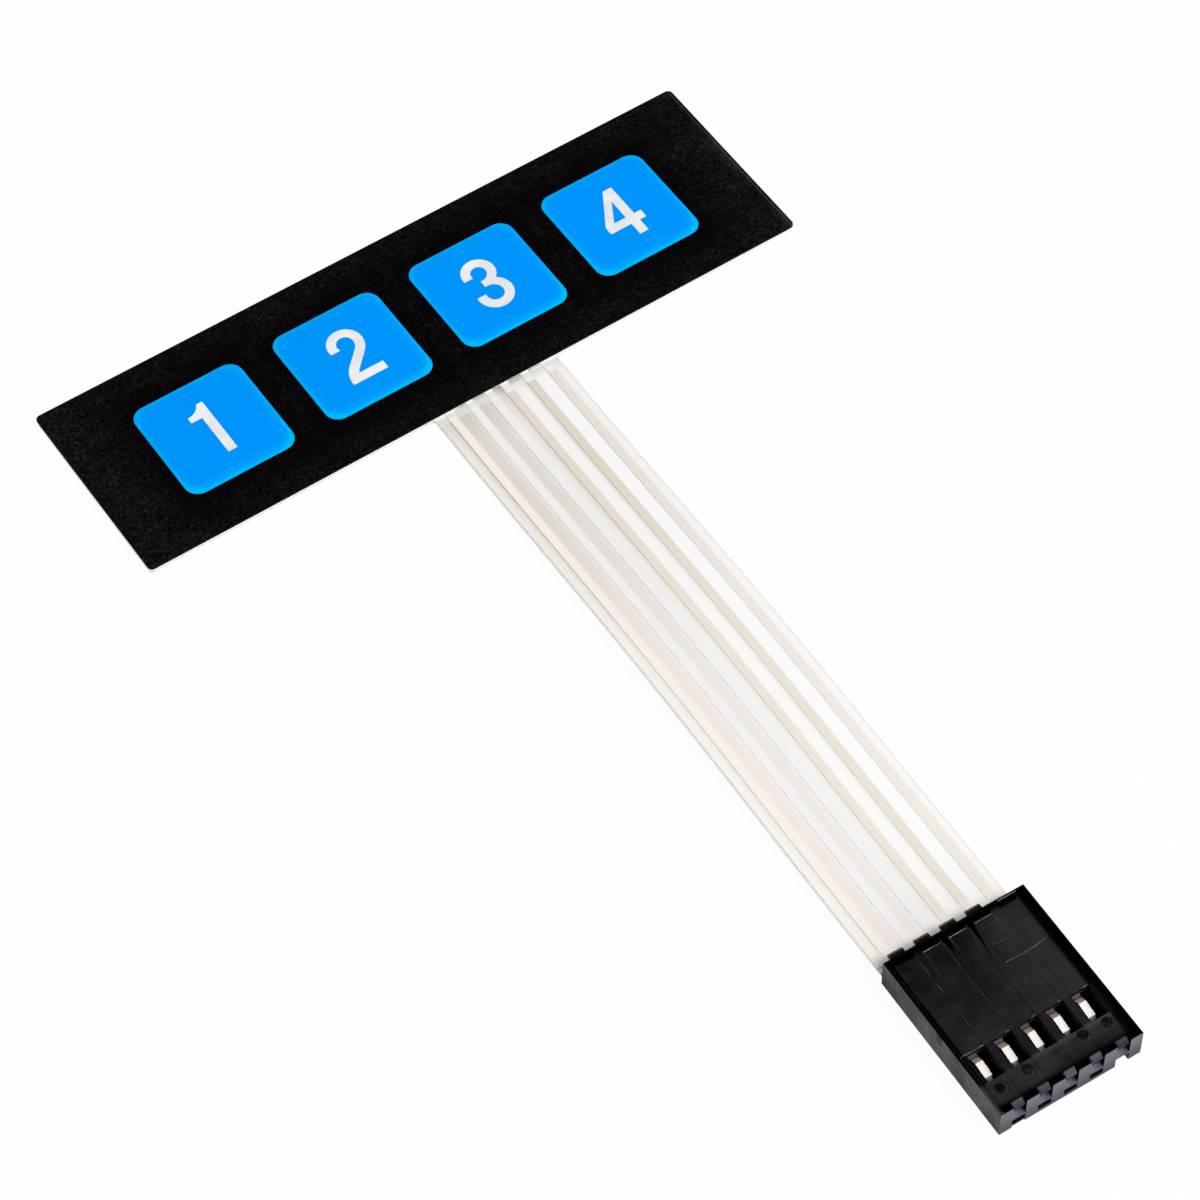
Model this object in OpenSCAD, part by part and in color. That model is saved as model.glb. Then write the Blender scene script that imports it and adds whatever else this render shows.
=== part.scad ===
// Membrane matrix keypad: four keys in one row, flat ribbon tail, five-way socket.
// Origin: centre of the key panel on its rear face. +X runs along the keys, the tail leaves
// towards -Y, +Z is out of the face. Millimetres.

/* [Key panel] */
// Length of the panel along the row of keys
panel_l = 69.2; // [66:0.1:90]
// Width of the panel across the row of keys
panel_w = 20.5; // [20:0.1:30]
// Radius of the panel's corners
panel_corner = 0.5; // [0.3:0.1:2]
// How far the layers under the face stand back from its edge
layer_inset = 0.1; // [0.05:0.05:0.4]

/* [Keys] */
// Centre distance from key to key
key_pitch = 14.63; // [14:0.01:16]
// Width of a key's printed field along the row
key_w = 11.17; // [10.5:0.01:12.5]
// Height of a key's printed field across the row
key_h = 11.42; // [10.5:0.01:13]
// Corner radius of a key's printed field
key_corner = 1.4; // [1.2:0.05:2.5]
// How far the embossed foot stands inside the printed field
emboss_inset = 0.12; // [0.05:0.01:0.3]
// Height of the embossing over the face
emboss_rise = 0.18; // [0.1:0.01:0.4]
// Width of the embossing's sloping flank
emboss_run = 0.65; // [0.4:0.01:0.9]
// Height of a numeral
numeral_h = 6.2; // [4:0.01:8]
// How far the numerals sit to the left of the middle of their keys
numeral_left = 0.09; // [0:0.01:0.3]
// How far the numerals sit below the middle of their keys
numeral_drop = 0.14; // [0:0.01:0.3]
// Thickness of a printed field of ink
ink_t = 0.03; // [0.02:0.005:0.05]

/* [Layers] */
// Thickness of the printed face film
face_t = 0.2; // [0.15:0.005:0.3]
// Thickness of the adhesive under the face
face_glue_t = 0.08; // [0.05:0.005:0.15]
// Thickness of the upper contact film
contact_film_t = 0.125; // [0.1:0.005:0.2]
// Thickness of a shorting pad
shorting_pad_t = 0.02; // [0.01:0.005:0.03]
// Thickness of the spacer between the films
spacer_t = 0.15; // [0.12:0.005:0.3]
// Thickness of the lower circuit film and its tail
circuit_t = 0.125; // [0.1:0.005:0.2]
// Thickness of the mounting adhesive
rear_glue_t = 0.1; // [0.05:0.005:0.2]
// Thickness of the release liner
liner_t = 0.1; // [0.06:0.005:0.15]

/* [Contact zones] */
// Side of the square window in the spacer at each key
window_side = 9.4; // [9:0.1:10]
// Corner radius of that window
window_corner = 1; // [0.5:0.1:2]
// Side of a shorting pad
shorting_pad_side = 8.6; // [8:0.1:8.9]
// Width of the air vent that joins one window to the next
vent_w = 1.2; // [0.6:0.1:2]
// Side of the square that a pair of finger combs fills
comb_side = 8.15; // [7.5:0.05:8.5]
// Width of one finger of a comb
finger_w = 0.45; // [0.35:0.01:0.6]
// Gap between neighbouring fingers
finger_gap = 0.45; // [0.35:0.01:0.6]
// Width of a printed track
track_w = 0.6; // [0.4:0.05:0.8]
// Thickness of a printed conductor
trace_t = 0.06; // [0.02:0.005:0.07]
// Room left round a track in the spacer's underside
track_room = 0.02; // [0.01:0.005:0.03]
// Distance of the outermost tracks from the panel's middle line
outer_track_y = 8.6; // [8.4:0.05:9]
// Distance of the inner key tracks from the panel's middle line
inner_track_y = 7.1; // [6.6:0.05:7.2]

/* [Tail] */
// Width of the ribbon tail
tail_w = 13.1; // [12.7:0.1:13.3]
// Length of tail that shows between panel and housing
tail_l = 69.5; // [40:0.5:160]
// Where the tail leaves the panel, from the panel's middle
exit_x = 1.5; // [-2:0.1:1.9]
// How far the tail turns sideways, in degrees
tail_skew = -0.9; // [-2:0.1:2]
// How high the tail arches off the table between its ends
tail_arch = 0.9; // [0:0.1:3]
// Straight stretch of tail at each end
tail_flat = 1.5; // [1:0.1:3]
// Width of one conductor strip
strip_w = 0.76; // [0.6:0.02:1]
// Centre distance of neighbouring conductor strips
strip_pitch = 2.2; // [2.1:0.01:2.25]
// Centre distance of the two strips beside the blank strip
blank_gap = 3.73; // [3.5:0.01:3.8]
// Distance of the blank strip from the middle of that gap
blank_shift = 0.2; // [-0.3:0.01:0.3]
// Distance of that gap's middle from the tail's middle line
strip_shift = -0.98; // [-1.1:0.01:-0.8]
// Thickness of the tail's cover film
cover_t = 0.075; // [0.05:0.005:0.1]
// How far the cover film stops short of the panel and the housing
cover_setback = 1.1; // [0.5:0.1:2]
// How far the cover film stands back from the tail's edges
cover_inset = 0.15; // [0.05:0.05:0.4]
// Wall of cover film beside a strip
cover_wall = 0.07; // [0.05:0.01:0.12]

/* [Socket housing] */
// Centre distance of neighbouring contacts
contact_pitch = 2.54; // [2.5:0.01:2.6]
// Width of the housing
housing_w = 13.9; // [13.6:0.1:15]
// Length of the housing from rear to front
housing_l = 16.5; // [16.2:0.1:18]
// Height of the housing
housing_h = 3.15; // [3.05:0.05:4]
// How far the housing turns against the tail, in degrees
housing_yaw = -1; // [-1.2:0.1:1.2]
// How far the housing sits to the side of the tail's middle line
housing_shift = 0.2; // [-0.3:0.05:0.3]
// Thickness of the housing's floor
floor_t = 0.3; // [0.25:0.01:0.4]
// Clear height of a contact cavity
cavity_h = 1.6; // [1.55:0.05:1.75]
// Clear width of a contact cavity
cavity_w = 2; // [1.9:0.05:2.1]
// Depth of the tray in the housing's top
tray_depth = 0.5; // [0.3:0.05:0.55]
// Thickness of the tray's side rims
side_rim = 0.25; // [0.2:0.05:0.4]
// Thickness of the tray's rear rim
rear_rim = 0.2; // [0.15:0.05:0.5]
// Thickness of the tray's front rim
front_rim = 0.2; // [0.15:0.05:0.3]
// Width of the trench behind the front rim
trench_w = 0.7; // [0.4:0.05:0.8]
// Depth of that trench under the tray
trench_depth = 0.4; // [0.2:0.05:0.5]
// Depth of the gutters along the side rims
gutter_depth = 0.2; // [0.1:0.01:0.3]
// Width of those gutters
gutter_w = 0.45; // [0.3:0.05:0.5]
// Thickness of the front wall at the pin entries
front_wall = 1.2; // [1:0.05:1.5]
// Depth of the sunk lanes in the tray
lane_depth = 0.08; // [0.04:0.01:0.12]
// Width of a lane, and of the window at its front
lane_w = 1.74; // [1.5:0.02:1.8]
// Length of the pocket behind a lane
pocket_l = 0.4; // [0.3:0.05:0.8]
// Depth of that pocket under the tray
pocket_depth = 0.5; // [0.2:0.05:0.5]
// Length of the tapering notches on both sides of the middle lane
taper_l = 2.2; // [1:0.1:4]
// Width of a tapering notch at the rear rim
taper_w = 0.6; // [0.3:0.05:0.65]
// Depth of a tapering notch under the tray
taper_depth = 0.35; // [0.1:0.05:0.5]
// Distance from the rear face to the windows
window_start = 10.2; // [10:0.1:10.6]
// Length of a window
window_l = 2.86; // [2.6:0.02:3]
// Diameter of the round dimple in front of a window
dimple_d = 1.1; // [0.8:0.05:1.3]
// Depth of that dimple under the lane
dimple_depth = 0.08; // [0.04:0.01:0.2]
// Width of the upper opening over each pin entry
notch_w = 1.3; // [1.1:0.05:1.4]
// Width of a pin entry
entry_w = 1.2; // [1:0.05:1.3]
// Height of a pin entry
entry_h = 0.74; // [0.7:0.02:0.86]
// Width that the mouth of a pin entry gains below and on each side
entry_flare = 0.1; // [0.04:0.01:0.12]
// Height of the bar over a pin entry, at the front face
bar_h = 0.15; // [0.1:0.01:0.3]
// Rise of the sill that slopes up behind that bar
sill_rise = 0.3; // [0.1:0.05:0.3]
// Width of the stop tongue over each pin entry
tongue_w = 1; // [0.8:0.05:1.05]
// Length of the sloping lip at the tongue's end
lip_l = 0.5; // [0.3:0.01:0.6]
// Height of that lip over the tray
lip_h = 0.48; // [0.3:0.01:0.5]
// Width of a grip tab on the rear face
tab_w = 1.4; // [1:0.05:1.6]
// How far a grip tab stands out of the rear face
tab_l = 0.75; // [0.3:0.05:1]
// How far the grip tabs sit to the side of their contacts
tab_shift = -0.2; // [-0.3:0.05:0.3]
// Height of the groove under the first pin entry
foot_groove = 0.26; // [0.1:0.01:0.28]
// Height of the opening under the last pin entry
foot_h = 0.6; // [0.4:0.05:0.8]

/* [Contacts] */
// Thickness of the contact strip metal
metal_t = 0.2; // [0.15:0.01:0.25]
// Width of a contact's crimp plate
crimp_w = 1.6; // [1.4:0.05:1.7]
// Length of a contact's crimp plate
crimp_l = 4.1; // [3.6:0.1:4.3]
// Length of a crimp tine along the contact
tine_l = 0.8; // [0.5:0.05:1]
// How far a folded tine reaches over the conductor
tine_reach = 0.5; // [0.35:0.05:0.6]
// Width of a contact's box
box_w = 1.5; // [1.3:0.05:1.6]
// Height of a contact's box
box_h = 0.95; // [0.88:0.01:1.1]
// Width of the spring leaves
leaf_w = 0.7; // [0.62:0.02:1]
// Length of the upper leaf's rise to its bend
leaf_rise_l = 1.15; // [0.9:0.05:1.4]
// Length of the flat plate in front of that bend
leaf_plate_l = 1.5; // [1.2:0.05:1.8]
// Height of the upper leaf's bend over the contact's underside
crown_h = 1.35; // [1.1:0.01:1.45]
// Width of the tongue at the upper leaf's tip
tip_w = 0.5; // [0.4:0.02:0.6]
// Clear height between the leaves where they pinch a pin
pinch_gap = 0.4; // [0.3:0.01:0.55]
// How far the tail reaches into the housing
insert_l = 5; // [4.8:0.1:5.4]
// Room round the tail's end in the housing
slot_room = 0.2; // [0.15:0.01:0.25]

/* [Hidden] */
$fn = 48;
eps = 0.05;

key_count = 4;
numeral_grid = 6.36;
numeral_scale = numeral_h / numeral_grid;
way_count = 5;

// Heights of the layers, from the rear face up
rear_glue_z = liner_t;
circuit_z = rear_glue_z + rear_glue_t;
spacer_z = circuit_z + circuit_t;
contact_film_z = spacer_z + spacer_t;
face_glue_z = contact_film_z + contact_film_t;
face_z = face_glue_z + face_glue_t;
face_top = face_z + face_t;

// Outline of the embossing
emboss_w = key_w - 2 * emboss_inset;
emboss_h = key_h - 2 * emboss_inset;
emboss_corner = key_corner - emboss_inset;

// Strips across the tail, from its middle line, and how far they reach at each end
left_strip = strip_shift - blank_gap / 2;
right_strip = strip_shift + blank_gap / 2;
strip_x = [left_strip - strip_pitch, left_strip, right_strip,
    right_strip + strip_pitch, right_strip + 2 * strip_pitch];
blank_x = strip_shift + blank_shift;
root_l = 1.5;
blank_root = 0.8;
strip_end = 0.4;

// Levels and stations of the housing, from its floor and its rear face
tray_z = housing_h - tray_depth;
cavity_top = floor_t + cavity_h;
cavity_end = housing_l - front_wall;
contact_x = [for (i = [0:way_count - 1]) (i - (way_count - 1) / 2) * contact_pitch];
entry_z = floor_t + metal_t - 0.08;
bar_z = entry_z + entry_h;
sill_z = bar_z + bar_h;
sill_l = 0.5;
foot_wall = 0.2;
trench_start = housing_l - front_rim - trench_w;
gutter_steps = [rear_rim, 4.6, 8.9, window_start + window_l + 0.3];

// Stations of a contact and of the conductors' lands in it, from the housing's rear face
crimp_start = 0.9;
tine_y = [crimp_start + 0.27 * crimp_l, crimp_start + 0.73 * crimp_l];
neck_l = 1.5;
box_start = crimp_start + crimp_l + neck_l;
box_end = window_start - 0.75;
leaf_start = window_start - 0.4;
leaf_bend = leaf_start + leaf_rise_l;
leaf_end = leaf_bend + leaf_plate_l;
pinch_h = 2 * metal_t + pinch_gap;
land_start = 1;
land_l = insert_l - land_start - 0.3;
land_w = crimp_w - 2 * metal_t - 0.2;

// Where the tail narrows to enter the housing, clear of the housing's turned rear face
shoulder = tail_l - tail_w / 2 * sin(abs(housing_yaw)) - 0.06;

// Rise of the tail: flat at both ends, a gentle S with a low arch between them
tail_z1 = floor_t + metal_t;
tail_steps = 12;
tail_rise = [for (i = [0:tail_steps])
    let (u = i / tail_steps)
    [tail_flat + u * (tail_l - 2 * tail_flat),
        circuit_z + (tail_z1 - circuit_z) * u * u * (3 - 2 * u)
        + tail_arch * (1 - cos(360 * u)) / 2]];

function key_x(i) = (i - (key_count - 1) / 2) * key_pitch;

function lift(d) = lookup(d, tail_rise);

function arc(c, r, a0, a1, n = 12) =
    [for (i = [0:n]) let (a = a0 + (a1 - a0) * i / n) c + r * [cos(a), sin(a)]];

// Shared shapes

module rounded_rect(w, h, r) {
    square([w - 2 * r, h], center = true);
    square([w, h - 2 * r], center = true);
    for (x = [-1, 1], y = [-1, 1])
        translate([x * (w / 2 - r), y * (h / 2 - r)]) circle(r);
}

module panel_outline(inset = 0) {
    rounded_rect(panel_l - 2 * inset, panel_w - 2 * inset, panel_corner - inset / 2);
}

// Low block with sloping flanks and cone corners
module rounded_frustum(w, h, r, run, rise) {
    rotate([90, 0, 0]) linear_extrude(h - 2 * r, center = true)
        polygon([[-w / 2, 0], [w / 2, 0], [w / 2 - run, rise], [run - w / 2, rise]]);
    rotate([90, 0, 90]) linear_extrude(w - 2 * r, center = true)
        polygon([[-h / 2, 0], [h / 2, 0], [h / 2 - run, rise], [run - h / 2, rise]]);
    for (x = [-1, 1], y = [-1, 1])
        translate([x * (w / 2 - r), y * (h / 2 - r), 0]) cylinder(h = rise, r1 = r, r2 = r - run);
}

module key_emboss() {
    rounded_frustum(emboss_w, emboss_h, emboss_corner, emboss_run, emboss_rise);
}

// Straight track with round ends
module track(from, to, w) {
    d = to - from;
    translate(from) circle(d = w);
    translate(to) circle(d = w);
    translate(from) rotate(atan2(d[1], d[0])) translate([0, -w / 2]) square([norm(d), w]);
}

module track_path(points, w) {
    for (i = [0:len(points) - 2]) track(points[i], points[i + 1], w);
}

// Box given by its lowest and highest corners
module block(low, high) {
    translate(low) cube(high - low);
}

// Profile in the YZ plane, as wide as w along X
module across(x, w) {
    translate([x - w / 2, 0, 0]) rotate([90, 0, 90]) linear_extrude(w) children();
}

module in_tail_frame() {
    translate([exit_x, -panel_w / 2, 0]) rotate([0, 0, tail_skew]) children();
}

module in_housing_frame() {
    in_tail_frame() translate([housing_shift, -tail_l, 0]) rotate([0, 0, housing_yaw]) children();
}

// Band of tail from distance d0 to d1, between two heights over the film's underside
module ribbon(x, w, d0, d1, low, high) {
    stops = concat([d0], [for (p = tail_rise) if (p[0] > d0 && p[0] < d1) p[0]], [d1]);
    last = len(stops) - 1;
    across(x, w) polygon(concat(
        [for (d = stops) [-d, lift(d) + low]],
        [for (i = [last:-1:0]) [-stops[i], lift(stops[i]) + high]]));
}

// The printed face

module graphic_overlay() {
    color("#141414") difference() {
        union() {
            translate([0, 0, face_z]) linear_extrude(face_t) panel_outline();
            for (i = [0:key_count - 1]) translate([key_x(i), 0, face_top]) key_emboss();
        }
        for (i = [0:key_count - 1]) translate([key_x(i), 0, face_z]) {
            key_emboss();
            translate([0, 0, -eps]) linear_extrude(eps)
                rounded_rect(emboss_w, emboss_h, emboss_corner);
        }
    }
}

module key_field(i) {
    color("#0094ff") translate([key_x(i), 0, face_top]) difference() {
        union() {
            linear_extrude(ink_t) rounded_rect(key_w, key_h, key_corner);
            translate([0, 0, ink_t]) key_emboss();
        }
        key_emboss();
        translate([0, 0, -eps]) linear_extrude(eps)
            rounded_rect(emboss_w, emboss_h, emboss_corner);
    }
}

// Numerals are drawn numeral_grid high round the middle of the key, then scaled to numeral_h

module numeral_1_shape() {
    difference() {
        union() {
            translate([-0.25, -3.06]) square([0.96, numeral_grid]);
            translate([-1.38, 1.66]) square([1.6, 1.64]);
        }
        translate([-1.36, 3.85]) circle(1.54);
    }
}

module numeral_2_shape() {
    bowl = [0.14, 1.5];
    turn = [-0.42, 1.5];
    foot = [1.035, -2.925];
    polygon(concat(
        arc(bowl, 1.79, 192, 0, 24), arc(turn, 2.35, -6, -45, 8),
        arc(foot, 1.79, 135, 153.3, 6),
        [[2.01, -2.12], [2.01, -3.06], [-1.7, -3.06]],
        arc(foot, 2.75, 180, 135, 8), arc(turn, 1.42, -45, -6, 8),
        arc(bowl, 0.86, 0, 205.5, 20)));
}

module numeral_3_shape() {
    upper = [0, 1.6];
    lower = [0.06, -1.22];
    polygon(concat(
        arc(upper, 1.71, 187.4, -48, 24), arc(lower, 1.84, 54, -188, 26),
        arc(lower, 0.9, 163.9, 360, 18), arc([-0.11, -1.22], 1.07, 9, 90, 10),
        [[-0.36, -0.15], [-0.36, 0.63]],
        arc([-0.19, 1.6], 0.97, -90, -9, 10), arc(upper, 0.78, 0, 196.4, 18)));
}

module numeral_4_shape() {
    difference() {
        polygon([[0.26, 3.3], [1.22, 3.3], [1.22, -0.63], [1.97, -0.63], [1.97, -1.57],
            [1.22, -1.57], [1.22, -3.06], [0.28, -3.06], [0.28, -1.57], [-2.03, -1.57],
            [-2.03, -0.63]]);
        polygon([[0.28, -0.63], [0.28, 1.84], [-1.06, -0.63]]);
    }
}

module numeral(i) {
    color("#f4f4f4")
        translate([key_x(i) - numeral_left, -numeral_drop, face_top + emboss_rise + ink_t])
        linear_extrude(ink_t) scale(numeral_scale) {
            if (i == 0) numeral_1_shape();
            if (i == 1) numeral_2_shape();
            if (i == 2) numeral_3_shape();
            if (i == 3) numeral_4_shape();
        }
}

module overlay_adhesive() {
    color("#ece8e2") translate([0, 0, face_glue_z]) linear_extrude(face_glue_t) difference() {
        panel_outline(layer_inset);
        for (i = [0:key_count - 1]) translate([key_x(i), 0]) rounded_rect(key_w, key_h, key_corner);
    }
}

// The switch layers

module upper_contact_film() {
    color("#f2f0ec") translate([0, 0, contact_film_z]) linear_extrude(contact_film_t)
        panel_outline(layer_inset);
}

module shorting_pad(i) {
    color("#303030") translate([key_x(i), 0, contact_film_z - shorting_pad_t])
        linear_extrude(shorting_pad_t)
            rounded_rect(shorting_pad_side, shorting_pad_side, window_corner);
}

module contact_spacer() {
    color("#eeebe6") difference() {
        translate([0, 0, spacer_z]) linear_extrude(spacer_t) difference() {
            panel_outline(layer_inset);
            for (i = [0:key_count - 1]) translate([key_x(i), 0])
                rounded_rect(window_side, window_side, window_corner);
            for (i = [0:key_count - 2]) translate([key_x(i) + key_pitch / 2, 0])
                square([key_pitch - window_side + 2 * eps, vent_w], center = true);
        }
        translate([0, 0, spacer_z - eps]) linear_extrude(trace_t + track_room + eps) {
            for (i = [0:way_count - 1]) panel_track(i, track_w + 2 * track_room);
            tail_roots(strip_w + 2 * track_room);
        }
    }
}

// Fingers of one comb: even ones hang from the upper bar, odd ones rise from the lower bar
module comb(upper) {
    pitch = finger_w + finger_gap;
    count = floor((comb_side + finger_gap) / pitch);
    bar_y = upper ? comb_side / 2 - finger_w : -comb_side / 2;
    finger_l = comb_side - finger_w - finger_gap;
    translate([-comb_side / 2, bar_y]) square([comb_side, finger_w]);
    for (f = [0:count - 1]) if ((f % 2 == 0) == upper)
        translate([(f - (count - 1) / 2) * pitch - finger_w / 2,
            upper ? bar_y - finger_l + finger_w : bar_y]) square([finger_w, finger_l]);
}

// Where strip i meets its track under the panel
function root(i) = [exit_x + strip_x[i], root_l - panel_w / 2];

// Tracks under the panel: conductor 3 is common to all keys, the others serve one key each
module panel_track(i, w) {
    key = i < 2 ? i : i - 1;
    level = i == 0 || i == 4 ? -outer_track_y : -inner_track_y;
    if (i == 2) {
        track_path([root(i), [0, -inner_track_y], [0, outer_track_y]], w);
        track([key_x(0), outer_track_y], [key_x(key_count - 1), outer_track_y], w);
        for (k = [0:key_count - 1])
            track([key_x(k), outer_track_y], [key_x(k), comb_side / 2 - finger_w / 2], w);
    } else {
        track_path([root(i), [root(i)[0], level], [key_x(key), level],
            [key_x(key), (finger_w - comb_side) / 2]], w);
    }
}

// Straight ends of the tail's strips that reach under the panel
module tail_roots(w) {
    translate([exit_x, -panel_w / 2]) rotate(tail_skew) {
        for (x = strip_x) translate([x - w / 2, -1]) square([w, 1 + root_l]);
        translate([blank_x - w / 2, -1]) square([w, 1 + blank_root]);
    }
}

module conductor(i) {
    key = i < 2 ? i : i - 1;
    end_x = strip_x[i] - housing_shift;
    color("#e4ddd0") {
        translate([0, 0, spacer_z]) linear_extrude(trace_t) {
            panel_track(i, track_w);
            if (i == 2) for (k = [0:key_count - 1]) translate([key_x(k), 0]) comb(true);
            else translate([key_x(key), 0]) comb(false);
        }
        in_tail_frame() ribbon(strip_x[i], strip_w, -root_l, tail_l + strip_end,
            circuit_t, circuit_t + trace_t);
        in_housing_frame() translate([0, 0, tail_z1 + circuit_t]) linear_extrude(trace_t) polygon([
            [end_x - strip_w / 2, -strip_end / 2], [end_x + strip_w / 2, -strip_end / 2],
            [contact_x[i] + land_w / 2, -land_start],
            [contact_x[i] + land_w / 2, -land_start - land_l],
            [contact_x[i] - land_w / 2, -land_start - land_l],
            [contact_x[i] - land_w / 2, -land_start]]);
    }
}

module blank_strip() {
    color("#eceef2") in_tail_frame()
        ribbon(blank_x, strip_w, -blank_root, tail_l + strip_end, circuit_t, circuit_t + trace_t);
}

module lower_circuit_film() {
    color("#efece6") difference() {
        union() {
            translate([0, 0, circuit_z]) linear_extrude(circuit_t) panel_outline(layer_inset);
            in_tail_frame() ribbon(0, tail_w, -root_l, shoulder, 0, circuit_t);
            in_tail_frame() ribbon(housing_shift, tail_w - 4 * slot_room, shoulder - eps,
                tail_l + insert_l, 0, circuit_t);
        }
        in_housing_frame() for (x = contact_x, s = [-1, 1], y = tine_y)
            translate([x + s * (crimp_w / 2 - metal_t / 2), -y, tail_z1])
                cube([metal_t + 2 * track_room, tine_l + 2 * track_room, 1], center = true);
    }
}

module tail_cover_film() {
    all_strips = concat(strip_x, [blank_x]);
    color("#f6f3ec") in_tail_frame() difference() {
        union() {
            ribbon(0, tail_w - 2 * cover_inset, cover_setback, tail_l - cover_setback,
                circuit_t, circuit_t + cover_t);
            for (x = all_strips)
                ribbon(x, strip_w + 2 * cover_wall, cover_setback, tail_l - cover_setback,
                    circuit_t, circuit_t + trace_t + cover_t);
        }
        for (x = all_strips)
            ribbon(x, strip_w, cover_setback - eps, tail_l - cover_setback + eps,
                circuit_t - eps, circuit_t + trace_t);
    }
}

module rear_adhesive() {
    color("#e6e2da") translate([0, 0, rear_glue_z]) linear_extrude(rear_glue_t)
        panel_outline(layer_inset);
}

module release_liner() {
    color("#f2efe8") linear_extrude(liner_t) panel_outline(layer_inset);
}

// The socket: stations along it are distances from its rear face

// Cut through the front wall with a flared mouth
module pin_entry(x) {
    mouth = -housing_l;
    flare = entry_flare;
    intersection() {
        across(x, entry_w + 2 * flare) polygon([[mouth - eps, entry_z - flare],
            [mouth + flare, entry_z], [eps - cavity_end, entry_z], [eps - cavity_end, bar_z],
            [mouth - eps, bar_z]]);
        linear_extrude(housing_h) translate([x, 0]) polygon([
            [-entry_w / 2 - flare, mouth - eps], [entry_w / 2 + flare, mouth - eps],
            [entry_w / 2, mouth + flare], [entry_w / 2, eps - cavity_end],
            [-entry_w / 2, eps - cavity_end], [-entry_w / 2, mouth + flare]]);
    }
}

// Stop tongue that reaches over the pin entry and ends in a sloping lip
module stop_tongue(x) {
    tip = 0.07 - housing_l;
    root_y = 0.3 - cavity_end;
    across(x, tongue_w) polygon([[root_y, cavity_top], [root_y, tray_z - lane_depth],
        [tip + lip_l + 0.1, tray_z - lane_depth], [tip + lip_l, tray_z + lip_h],
        [tip + 0.7 * lip_l, tray_z + lip_h], [tip, tray_z + 0.15], [tip, tray_z],
        [tip + 0.5, cavity_top]]);
}

module connector_housing() {
    lane_end = window_start + window_l;
    side_x = housing_w / 2 - side_rim;
    color("#18181a") in_housing_frame() {
        difference() {
            union() {
                block([-housing_w / 2, -housing_l, 0], [housing_w / 2, 0, housing_h]);
                // Grip tabs behind every way but the last
                for (i = [0:way_count - 2]) across(contact_x[i] + tab_shift, tab_w) polygon([
                    [-eps, tray_z - 0.5], [tab_l, tray_z - 0.35], [tab_l, tray_z - 0.1],
                    [tab_l - 0.15, tray_z], [-eps, tray_z + 0.1]]);
            }
            // Tray with a trench behind the front rim and a stepped gutter along each side
            block([-side_x, front_rim - housing_l, tray_z], [side_x, -rear_rim, housing_h + eps]);
            block([-side_x, front_rim - housing_l, tray_z - trench_depth],
                [side_x, -trench_start, tray_z + eps]);
            for (side = [0, 1], k = [0:2]) mirror([side, 0, 0])
                block([side_x - gutter_w, -gutter_steps[k + 1] - eps,
                    tray_z - (k == 1 ? 1 : 0.6) * gutter_depth],
                    [side_x, -gutter_steps[k], tray_z + eps]);
            // Slot for the tail's end
            block([-tail_w / 2 + slot_room, -insert_l - slot_room, tail_z1 - 0.05],
                [tail_w / 2 - slot_room, eps, tail_z1 + circuit_t + trace_t + slot_room]);
            for (x = contact_x) {
                block([x - cavity_w / 2, -cavity_end, floor_t], [x + cavity_w / 2, eps, cavity_top]);
                // Lane with a pocket at its rear, a window and a dimple
                block([x - lane_w / 2, -trench_start - eps, tray_z - lane_depth],
                    [x + lane_w / 2, -rear_rim - pocket_l + eps, tray_z + eps]);
                block([x - lane_w / 2, -rear_rim - pocket_l, tray_z - pocket_depth],
                    [x + lane_w / 2, -rear_rim, tray_z + eps]);
                block([x - lane_w / 2, -lane_end, cavity_top - eps],
                    [x + lane_w / 2, -window_start, tray_z + eps]);
                translate([x, -lane_end - dimple_d, tray_z - lane_depth - dimple_depth])
                    cylinder(h = 1, d = dimple_d);
                // Upper opening with a sloping sill, and the pin entry under it
                across(x, notch_w) polygon([[-housing_l - eps, sill_z],
                    [sill_l - housing_l, sill_z + sill_rise],
                    [0.1 - cavity_end, sill_z + sill_rise], [0.1 - cavity_end, cavity_top],
                    [-trench_start, cavity_top], [-trench_start, housing_h + eps],
                    [-housing_l - eps, housing_h + eps]]);
                pin_entry(x);
            }
            for (side = [-1, 1])
                translate([side * contact_pitch / 2, -rear_rim, tray_z - taper_depth])
                    linear_extrude(taper_depth + eps)
                        polygon([[-taper_w / 2, 0], [taper_w / 2, 0], [0, -taper_l]]);
            for (foot = [[contact_x[0], foot_groove], [contact_x[way_count - 1], foot_h]])
                block([foot[0] - notch_w / 2, -housing_l - eps, -eps],
                    [foot[0] + notch_w / 2, front_wall - foot_wall - housing_l, foot[1]]);
        }
        for (x = contact_x) {
            stop_tongue(x);
            // Latch ledge inside the window's rear edge
            block([x - lane_w / 2, -window_start - 0.35, cavity_top],
                [x + 0.1, eps - window_start, cavity_top + 0.18]);
        }
    }
}

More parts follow.
